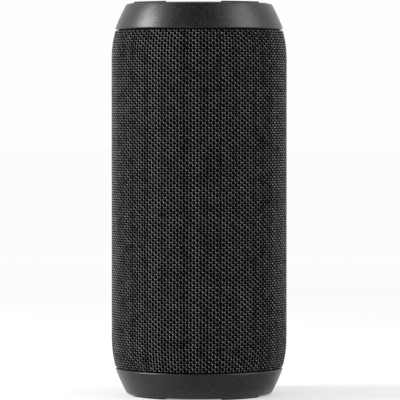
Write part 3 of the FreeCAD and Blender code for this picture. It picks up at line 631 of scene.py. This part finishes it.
cap_finish = cap_paint()
cap_low, cap_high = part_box("lower_cap")
seam_radius = cap_high.x
rim_z = cap_low.z
seam_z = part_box("grille_shell")[0].z
CAP_TAPER = 0.0051
CAP_FLANK = 0.070
CAP_LIP = 0.00035
LIP_ROUND = 0.00012
LIP_SOFTENING = 0.00003
RIM_WIDTH = 0.0012
RIM_ROUND = 0.0008
GROOVE_WIDTH = 0.0058
GROOVE_DEPTH = 0.003
GROOVE_CHAMFER = 0.0003
WEB_THICKNESS = 0.004
INNER_LIP_WIDTH = 0.0027
SEAT_WIDTH = 0.0015
SEAT_DEPTH = 0.0036
LEDGE_DROP = 0.0004
LEDGE_CHAMFER = 0.0002
SPIGOT_STEP = 0.0024
SPIGOT_WALL = 0.0018
rim_radius = seam_radius - CAP_TAPER
groove_outer = rim_radius - RIM_WIDTH
groove_inner = groove_outer - GROOVE_WIDTH
groove_floor = rim_z + GROOVE_DEPTH
web_top = groove_floor + WEB_THICKNESS
inner_lip = groove_inner - INNER_LIP_WIDTH
seat_radius = inner_lip + SEAT_WIDTH
seat_z = web_top - SEAT_DEPTH
ledge_z = rim_z + LEDGE_DROP
spigot_outer = seam_radius - SPIGOT_STEP
spigot_inner = spigot_outer - SPIGOT_WALL

flank_low = np.array((rim_radius, rim_z))
flank_high = np.array((seam_radius, seam_z - CAP_LIP))
chord = flank_high - flank_low
half_chord = np.linalg.norm(chord) / 2
outward = np.array((chord[1], -chord[0])) / (half_chord * 2)
flank_centre = (flank_low + flank_high) / 2 - outward * math.sqrt(CAP_FLANK**2 - half_chord**2)
round_z = rim_z + RIM_ROUND
round_reach = math.sqrt((CAP_FLANK - RIM_ROUND) ** 2 - (round_z - flank_centre[1]) ** 2)
round_centre = np.array((flank_centre[0] + round_reach, round_z))
round_turn = math.degrees(math.atan2(*(round_centre - flank_centre)[::-1]))
flank_turn = math.degrees(math.atan2(*(flank_high - flank_centre)[::-1]))
cap_outline = [
    *sweep(round_centre, RIM_ROUND, -90.0, round_turn, 9),
    *sweep(flank_centre, CAP_FLANK, round_turn, flank_turn, 25)[1:-1],
    (seam_radius, seam_z - CAP_LIP - LIP_ROUND),
    (seam_radius - LIP_SOFTENING, seam_z - CAP_LIP),
    (seam_radius - CAP_LIP + LIP_SOFTENING, seam_z - LIP_SOFTENING),
    (seam_radius - CAP_LIP - LIP_ROUND, seam_z),
    (spigot_outer, seam_z),
    (spigot_outer, cap_high.z),
    (spigot_inner, cap_high.z),
    (spigot_inner, web_top),
    (seat_radius, web_top),
    (seat_radius, seat_z),
    (inner_lip, seat_z),
    (inner_lip, ledge_z + LEDGE_CHAMFER),
    (inner_lip + LEDGE_CHAMFER, ledge_z),
    (groove_inner - LEDGE_CHAMFER, ledge_z),
    (groove_inner, ledge_z + LEDGE_CHAMFER),
    (groove_inner, groove_floor),
    (groove_outer, groove_floor),
    (groove_outer, rim_z + GROOVE_CHAMFER),
    (groove_outer + GROOVE_CHAMFER, rim_z),
]
for end in ("lower", "upper"):
    cap = lathe(end + "_painted_cap", other_way_up(cap_outline, end))
    sharpen(cap)
    cap.data.materials.append(cap_finish)
    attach(cap, "housing")
    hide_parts(end + "_cap")


# ---------------------------------------------------------------- bumpers
# A ring of black silicone pressed into each cap's groove, standing just proud of the rim, with
# four raised arcs that the speaker stands on.
RING_WIDTH = 0.0056
RING_PROUD = 0.0003
RING_ROUND = 0.0004
ARC_ROUND = 0.00035
ARC_WIDTH = 0.0028
ARC_INSET = 0.0003
ARC_DEGREES = 40.0
ARC_STEPS = 48
ARC_END_ROUND = 0.0003
bumper_low, bumper_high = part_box("lower_bumper")
ring_outer = bumper_high.x
arc_outer = ring_outer - ARC_INSET
ring_face = rim_z - RING_PROUD
bumper_silicone = rubber("bumper_silicone", 30, 0.00025, 0.55)


def rounded_bar(inner, outer, low, high, rounding):
    """A ring's section with its two corners at low rounded."""
    return [
        *sweep((inner + rounding, low + rounding), rounding, 180.0, 270.0, 6),
        *sweep((outer - rounding, low + rounding), rounding, 270.0, 360.0, 6),
        (outer, high),
        (inner, high),
    ]


ring_outline = rounded_bar(ring_outer - RING_WIDTH, ring_outer, ring_face, bumper_high.z, RING_ROUND)
arc_outline = rounded_bar(arc_outer - ARC_WIDTH, arc_outer, bumper_low.z, ring_face + RING_ROUND, ARC_ROUND)
for end in ("lower", "upper"):
    ring = lathe(end + "_bumper_ring", other_way_up(ring_outline, end))
    sharpen(ring)
    ring.data.materials.append(bumper_silicone)
    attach(ring, "housing")
    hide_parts(end + "_bumper")
    for quarter in range(4):
        first = 45.0 + 90.0 * quarter - ARC_DEGREES / 2
        name = f"{end}_bumper_arc_{quarter + 1}"
        arc = lathe(name, other_way_up(arc_outline, end), ARC_STEPS, first, first + ARC_DEGREES)
        softened = arc.modifiers.new("rounded_ends", "BEVEL")
        softened.width = ARC_END_ROUND
        softened.segments = 3
        softened.limit_method = "ANGLE"
        softened.angle_limit = math.radians(60)
        sharpen(arc)
        arc.data.materials.append(bumper_silicone)
        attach(arc, "housing")


# ---------------------------------------------------------------- cloth
# The sleeve is a warp-knit spacer mesh of dark polyester, stretched over the shell and tucked
# under the caps and the spine. Its face is two layers of thick yarn that cross over and under at
# a slant, with a fine tie thread above each crossing, and its back is a thin dense cloth. The
# yarns carry a painted highlight where they rise and painted shade at the crossings, and the
# back cloth's near-black colour paints the shade seen through the holes.
STRIP_END = 0.002
STRIP_SIDE = 0.08


def tubes(name, runs, sides):
    """One mesh of yarns, each with a strip of its own in the flat layout that takes its colour.

    Each run is (centre points, half widths, half heights, how much painted highlight the yarn takes at each
    point).
    """
    ring = np.linspace(0, 2 * math.pi, sides, endpoint=False)
    wide = np.cos(ring)
    tall = np.sin(ring)
    points = []
    faces = []
    strips = []
    crest_lights = []
    start = 0
    for number, (centres, widths, heights, crest_light) in enumerate(runs):
        along = np.gradient(centres, axis=0)
        along /= np.linalg.norm(along, axis=1)[:, None]
        out = centres * (1.0, 1.0, 0.0)
        out /= np.linalg.norm(out, axis=1)[:, None]
        across = np.cross(along, out)
        rounds = (
            centres[:, None]
            + across[:, None] * (wide[None, :, None] * widths[:, None, None])
            + out[:, None] * (tall[None, :, None] * heights[:, None, None])
        )
        count = len(centres)
        points.append(rounds.reshape(-1, 3))
        crest_lights.append(np.repeat(crest_light, sides))
        step = np.arange(count - 1)[:, None] * sides + start
        side = np.arange(sides)[None, :]
        after = (side + 1) % sides
        quads = np.stack([step + side, step + after, step + sides + after, step + sides + side], -1)
        faces.append(quads.reshape(-1, 4))
        far = np.linspace(STRIP_END, 1 - STRIP_END, count)
        low = (number + STRIP_SIDE) / len(runs)
        high = (number + 1 - STRIP_SIDE) / len(runs)
        level = low + (high - low) * np.arange(sides + 1) / sides
        left = np.repeat(far[:-1, None], sides, 1)
        right = np.repeat(far[1:, None], sides, 1)
        under = np.repeat(level[None, :-1], count - 1, 0)
        above = np.repeat(level[None, 1:], count - 1, 0)
        corners = [(left, under), (left, above), (right, above), (right, under)]
        strips.append(np.stack([np.stack(c, -1) for c in corners], 2).reshape(-1, 2))
        start += count * sides
    points = np.concatenate(points)
    faces = np.concatenate(faces)
    mesh = bpy.data.meshes.new(name)
    mesh.vertices.add(len(points))
    mesh.vertices.foreach_set("co", points.astype(np.float32).ravel())
    mesh.loops.add(faces.size)
    mesh.loops.foreach_set("vertex_index", faces.astype(np.int32).ravel())
    mesh.polygons.add(len(faces))
    mesh.polygons.foreach_set("loop_start", np.arange(0, faces.size, 4, dtype=np.int32))
    mesh.polygons.foreach_set("use_smooth", np.ones(len(faces), bool))
    mesh.update(calc_edges=True)
    # Each point's painted crest highlight is stored on the mesh as an attribute, and the yarn finish reads
    # it.
    painted_crest_light = mesh.attributes.new("painted_crest_light", "FLOAT", "POINT")
    painted_crest_light.data.foreach_set("value", np.concatenate(crest_lights).astype(np.float32))
    layout = mesh.uv_layers.new(name="OFBake")
    layout.data.foreach_set("uv", np.concatenate(strips).astype(np.float32).ravel())
    piece = bpy.data.objects.new(name, mesh)
    scene.collection.objects.link(piece)
    return piece


def yarn(name, low, high, gloss, shine):
    """Textured polyester, with a painted highlight on each crest where the yarn rises and painted shade at
    the crossings where it sinks.
    """
    finish, root = new_finish(name)
    filaments = speckle(root, 5200.0, 2.0)
    dye = speckle(root, 300.0, 2.0)
    painted_crest_light = root.node("Attribute", {"attribute_name": "painted_crest_light"}, output="Fac")
    crest_light_and_tone = painted_crest_light * (0.6 + filaments * 0.5 + dye * 0.3)
    coat(
        root,
        {
            "Base Color": root.mix(crest_light_and_tone, grey(low), grey(high)),
            "Roughness": gloss,
            "Specular IOR Level": shine,
            "Normal": raised(root, filaments, 0.00003, 0.6),
        },
    )
    return finish


CLOTH_ROLL = 0.0018
CLOTH_ROLL_HEIGHT = 0.015
SEAM_TURN = 0.0005
TUCK_WIDTH = 0.0014
TUCK_DEPTH = 0.0009
WINDOW_HALF = math.radians(14.8)
CELLS_AROUND = 84
COURSES = 69
cloth_low, cloth_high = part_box("fabric_sleeve")
cloth_radius = -cloth_low.y
cell = 2 * math.pi / CELLS_AROUND
course = (cloth_high.z - cloth_low.z) / COURSES


def face_radius(turn, z):
    """The cloth's outer radius: it rolls in towards both seams and tucks in beside the spine."""
    edge = np.minimum(z - cloth_low.z, cloth_high.z - z)
    roll = CLOTH_ROLL * (1 - np.clip(edge / CLOTH_ROLL_HEIGHT, 0, 1)) ** 2.5
    roll += SEAM_TURN * (1 - np.clip(edge / SEAM_TURN, 0, 1)) ** 2
    beside = (np.pi - np.abs(turn) - WINDOW_HALF) * cloth_radius
    tuck = TUCK_DEPTH * (1 - np.clip(beside / TUCK_WIDTH, 0, 1)) ** 2
    return cloth_radius - roll - tuck


def on_cloth(turn, z, sunk):
    """Points that far under the cloth's outer radius, turned from the front and at these heights."""
    radius = face_radius(turn, z) - sunk
    return np.stack([radius * np.sin(turn), -radius * np.cos(turn), z], -1)


STEPS = 5
YARN_SIDES = 6
YARN_WIDTH = 0.00023
YARN_HEIGHT = 0.00020


def bulge(part, at, reach):
    """1 at one place in each repeat, falling to 0 at that distance from it."""
    apart = np.abs((part - at + 0.5) % 1.0 - 0.5)
    return np.clip(1 - (apart / reach) ** 2, 0, 1) ** 1.5


luck = np.random.default_rng(11)


def drift(count, spacing, amount):
    """Slow random change along a yarn, with a new value every so many points."""
    knots = np.arange(0, count + spacing * 2, spacing)
    return np.interp(np.arange(count), knots, luck.normal(0, amount, len(knots)))


column_shades = luck.normal(0, 0.22, CELLS_AROUND * 2)


def column_shade(turn):
    """How much paler than the rest each upright column of stitches is."""
    return column_shades[np.rint(turn / cell * 2).astype(int) % len(column_shades)]


def slanted_yarns(lean):
    """All the yarns that rise one way: lean 1 climbs to the right, and -1, the upper layer, to the left.

    Each yarn swells and rises to the surface once in every half course, and sinks at the next crossing.
    """
    runs = []
    halves = COURSES * 2
    u = np.arange(halves * STEPS + 1) / STEPS
    part = u % 1.0
    # Each yarn is painted pale on its crest, where it rises, as a painted highlight, and dark where it sinks,
    # as painted shade.
    crest = 0.37 if lean < 0 else 0.42
    swell = np.cos(2 * np.pi * (part - crest))
    wave = np.sin(2 * np.pi * (part - crest)) + math.sin(2 * np.pi * crest)
    if lean < 0:
        climb = 0.13 * wave
        width = YARN_WIDTH * (0.80 + 0.40 * swell)
        height = YARN_HEIGHT * (1.0 + 0.2 * swell)
        sunk = 0.00044 - 0.00018 * swell
        crest_light = bulge(part, 0.37, 0.20) + 0.3 * bulge(part, 0.79, 0.10)
    else:
        climb = 0.08 * wave
        width = YARN_WIDTH * (0.72 + 0.32 * swell)
        height = YARN_HEIGHT * (0.92 + 0.18 * swell)
        sunk = 0.00058 - 0.00030 * swell
        crest_light = bulge(part, 0.46, 0.15)
    z = np.clip(cloth_low.z + (u + climb) * course / 2, cloth_low.z, cloth_high.z)
    for number in range(CELLS_AROUND):
        count = len(u)
        turn = number * cell + lean * (u + drift(count, 14, 0.035)) * cell / 2
        # The painted crest highlight, scaled by each yarn's and each column's random tone.
        crest_light_and_tone = crest_light * np.clip(0.8 + drift(count, 9, 0.24) + column_shade(turn), 0.15, 1.5)
        turn = (turn + math.pi) % (2 * math.pi) - math.pi
        kept = np.abs(turn) < math.pi - WINDOW_HALF
        edges = np.flatnonzero(np.diff(np.concatenate([[0], kept.astype(int), [0]])))
        for first, last in zip(edges[::2], edges[1::2]):
            if last - first < 3:
                continue
            centres = on_cloth(turn[first:last], z[first:last], sunk[first:last])
            runs.append((centres, width[first:last], height[first:last], crest_light_and_tone[first:last]))
    return runs


TIE_LIFT = 0.0008
TIE_SIDES = 4
TIE_WIDTH = 0.00010
TIE_HEIGHT = 0.00009
TIE_REACH = np.array([-0.34, -0.12, 0.12, 0.34])
TIE_SUNK = np.array([0.0006, 0.00052, 0.00052, 0.0006])


def tie_threads():
    """A fine thread across each small gap above a crossing."""
    runs = []
    same = np.ones(len(TIE_REACH))
    for half in range(1, COURSES * 2 - 1):
        z = cloth_low.z + half * course / 2 + TIE_LIFT
        for number in range(CELLS_AROUND):
            centre = (number + 0.5 * (half % 2)) * cell
            centre = (centre + math.pi) % (2 * math.pi) - math.pi
            if abs(centre) > math.pi - WINDOW_HALF - cell * 0.5:
                continue
            centres = on_cloth(centre + TIE_REACH * cell, z * same, TIE_SUNK)
            runs.append((centres, TIE_WIDTH * same, TIE_HEIGHT * same, 0.3 * same))
    return runs


# The face yarn's near-black grey is painted shade at the crossings, and its pale grey is a painted highlight
# on the crests.
face_yarn = yarn("face_yarn", 5, 142, 0.6, 0.18)
tie_yarn = yarn("tie_yarn", 8, 34, 0.7, 0.15)
knit = []


def knit_layer(name, runs, sides, finish, groups):
    """The layer's yarns, dealt out in turn to a few pieces."""
    for group in range(groups):
        piece = tubes(f"{name}_{group + 1}", runs[group::groups], sides)
        piece.data.materials.append(finish)
        knit.append(piece)


knit_layer("cloth_rising_yarns", slanted_yarns(1), YARN_SIDES, face_yarn, 4)
knit_layer("cloth_falling_yarns", slanted_yarns(-1), YARN_SIDES, face_yarn, 4)
knit_layer("cloth_tie_threads", tie_threads(), TIE_SIDES, tie_yarn, 2)


BACK_DEPTH = 0.00105


def back_cloth():
    """The sleeve's dense back layer, one open sheet that follows the face a millimetre in."""
    around = np.linspace(-math.pi + WINDOW_HALF, math.pi - WINDOW_HALF, 300)
    edge = np.linspace(0, 1, 12) ** 1.5 * CLOTH_ROLL_HEIGHT
    up = np.concatenate([cloth_low.z + edge, (cloth_high.z - edge)[::-1]])
    turn, z = np.meshgrid(around, up)
    points = on_cloth(turn, z, BACK_DEPTH).reshape(-1, 3)
    return mesh_piece("cloth_back", points, sheet_faces(*turn.shape))


def dense_cloth_in_painted_shade():
    """Fine black filament knitted close. Its near-black colour with no gloss is painted shade, for the shade
    inside the holes.
    """
    finish, root = new_finish("back_yarn")
    filaments = speckle(root, 5200.0, 2.0)
    coat(
        root,
        {
            # Near black: the back cloth is real, and this colour paints the shade in the holes.
            "Base Color": grey(3),
            "Roughness": 0.9,
            "Specular IOR Level": 0.0,
            "Normal": raised(root, filaments, 0.00003, 0.6),
        },
    )
    return finish


backing = back_cloth()
backing.data.materials.append(dense_cloth_in_painted_shade())
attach(backing, "housing")
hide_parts("fabric_sleeve")
for piece in knit:
    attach(piece, "housing")


# ---------------------------------------------------------------- spine and buttons
# A moulded strip of matt rubber runs down the back between the cloth's edges. Five soft buttons
# come up through it, each with a raised sign, and a clear light pipe sits between the top two.
spine_finish = rubber("spine_rubber", 34, 0.00018, 0.58)
dress(spine_finish, "spine")
button_finish = rubber("button_rubber", 38, 0.00016, 0.5)
mark_finish = rubber("mark_rubber", 150, 0.0002, 0.5)
crown_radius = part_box("play_button")[1].y


FLANGE_WIDTH = 0.0008
FLANGE_THICKNESS = 0.001
FLANGE_FACE = 0.0348
STEM_RADIUS = 0.0015
KEY_ROUND = 0.0006
SPOKES = 72


def crown_button(name, body):
    """A round button whose crown follows the speaker's curve, with a soft edge, a flange and a stem."""
    low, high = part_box(body)
    level = (low.z + high.z) / 2
    flange = (high.z - low.z) / 2
    radius = flange - FLANGE_WIDTH
    flat = radius - KEY_ROUND
    rings = [(r, 0.0) for r in np.linspace(0, flat, 10)[1:]]
    for t in np.linspace(0, math.pi / 2, 7)[1:]:
        rings.append((flat + KEY_ROUND * math.sin(t), KEY_ROUND * (1 - math.cos(t))))
    turns = np.linspace(0, 2 * math.pi, SPOKES, endpoint=False)
    points = [(0.0, crown_radius, level)]
    for reach, drop in rings:
        for t in turns:
            x = reach * math.cos(t)
            points.append((x, math.sqrt(crown_radius**2 - x * x) - drop, level + reach * math.sin(t)))
    flange_back = FLANGE_FACE - FLANGE_THICKNESS
    below = [
        (radius, FLANGE_FACE),
        (flange, FLANGE_FACE),
        (flange, flange_back),
        (STEM_RADIUS, flange_back),
        (STEM_RADIUS, low.y),
    ]
    for reach, y in below:
        for t in turns:
            points.append((reach * math.cos(t), y, level + reach * math.sin(t)))
    points.append((0.0, low.y, level))
    faces = [(0, 1 + (s + 1) % SPOKES, 1 + s) for s in range(SPOKES)]
    bands = len(rings) + len(below) - 1
    for band in range(bands):
        here = 1 + band * SPOKES
        for s in range(SPOKES):
            after = (s + 1) % SPOKES
            faces.append((here + s, here + after, here + SPOKES + after, here + SPOKES + s))
    here = 1 + bands * SPOKES
    faces += [(here + s, here + (s + 1) % SPOKES, len(points) - 1) for s in range(SPOKES)]
    piece = mesh_piece(name, points, faces)
    sharpen(piece, 50)
    piece.data.materials.append(button_finish)
    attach(piece, body)
    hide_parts(body)
    return level


SIGN_THICKNESS = 0.00034
SIGN_SUNK = 0.00005


def raised_sign(name, body, level, lines, closed=()):
    """A raised sign on a button: rounded bars along lines of (across, up) points in millimetres."""
    curve = bpy.data.curves.new(name, "CURVE")
    curve.dimensions = "3D"
    curve.bevel_depth = SIGN_THICKNESS
    curve.bevel_resolution = 3
    curve.use_fill_caps = True
    for number, line in enumerate(lines):
        spline = curve.splines.new("POLY")
        spline.points.add(len(line) - 1)
        spline.use_cyclic_u = number in closed
        for point, (across, up) in zip(spline.points, line):
            x = -across / 1000
            point.co = (x, math.sqrt(crown_radius**2 - x * x) - SIGN_SUNK, level + up / 1000, 1.0)
    shape = bpy.data.objects.new(name, curve)
    scene.collection.objects.link(shape)
    bpy.context.view_layer.update()
    mesh = bpy.data.meshes.new_from_object(shape)
    bpy.data.objects.remove(shape)
    sign = bpy.data.objects.new(name, mesh)
    scene.collection.objects.link(sign)
    mesh.polygons.foreach_set("use_smooth", [True] * len(mesh.polygons))
    mesh.materials.clear()
    mesh.materials.append(mark_finish)
    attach(sign, body)


def line(*ends, count=9):
    """Evenly spaced points along straight stretches."""
    points = []
    for (x0, y0), (x1, y1) in zip(ends, ends[1:]):
        points += [(x0 + (x1 - x0) * t, y0 + (y1 - y0) * t) for t in np.linspace(0, 1, count)]
    return points


def round_line(radius, first, last, count=40):
    """Evenly spaced points along an arc, in degrees clockwise from straight up."""
    turns = np.radians(np.linspace(first, last, count))
    return [(radius * math.sin(t), radius * math.cos(t)) for t in turns]


dash = line((-2.2, 0), (2.2, 0))
signs = {
    "power": [round_line(1.7, 40, 320), line((0, 0.5), (0, 2.1))],
    "pairing": [round_line(r, a, a + 90, 16) for a in (-45, 135) for r in (1.0, 2.0)],
    "volume_up": [dash, line((0, -2.2), (0, 2.2))],
    "play": [line((-1.3, 2.1), (2.2, 0), (-1.3, -2.1), (-1.3, 2.1))[:-1]],
    "volume_down": [dash],
}
for key, lines in signs.items():
    body = key + "_button"
    level = crown_button(key + "_key", body)
    closed = {0} if key == "play" else ()
    raised_sign(key + "_sign", body, level, lines, closed)


def clear_plastic():
    """Frosted clear acrylic."""
    finish, root = new_finish("clear_plastic")
    haze = speckle(root, 1500.0, 3.0)
    coat(
        root,
        {
            "Base Color": root.mix(haze, grey(190), grey(225)),
            "Roughness": 0.25 + haze * 0.15,
            "Transmission Weight": 0.35,
            "IOR": 1.49,
            "Normal": raised(root, haze, 0.00002),
        },
    )
    return finish


dress(clear_plastic(), "light_pipe", "status_led")


# ---------------------------------------------------------------- ports
# The charging socket and the line-in jack sit in a moulded well behind a rubber flap, which
# turns down about a steel pin at its lower end.
dress(rubber("cover_rubber", 36, 0.00018, 0.56), "port_cover")
dress(moulded_plastic("well_plastic", 24), "port_housing")
dress(moulded_plastic("jack_plastic", 38), "aux_jack")
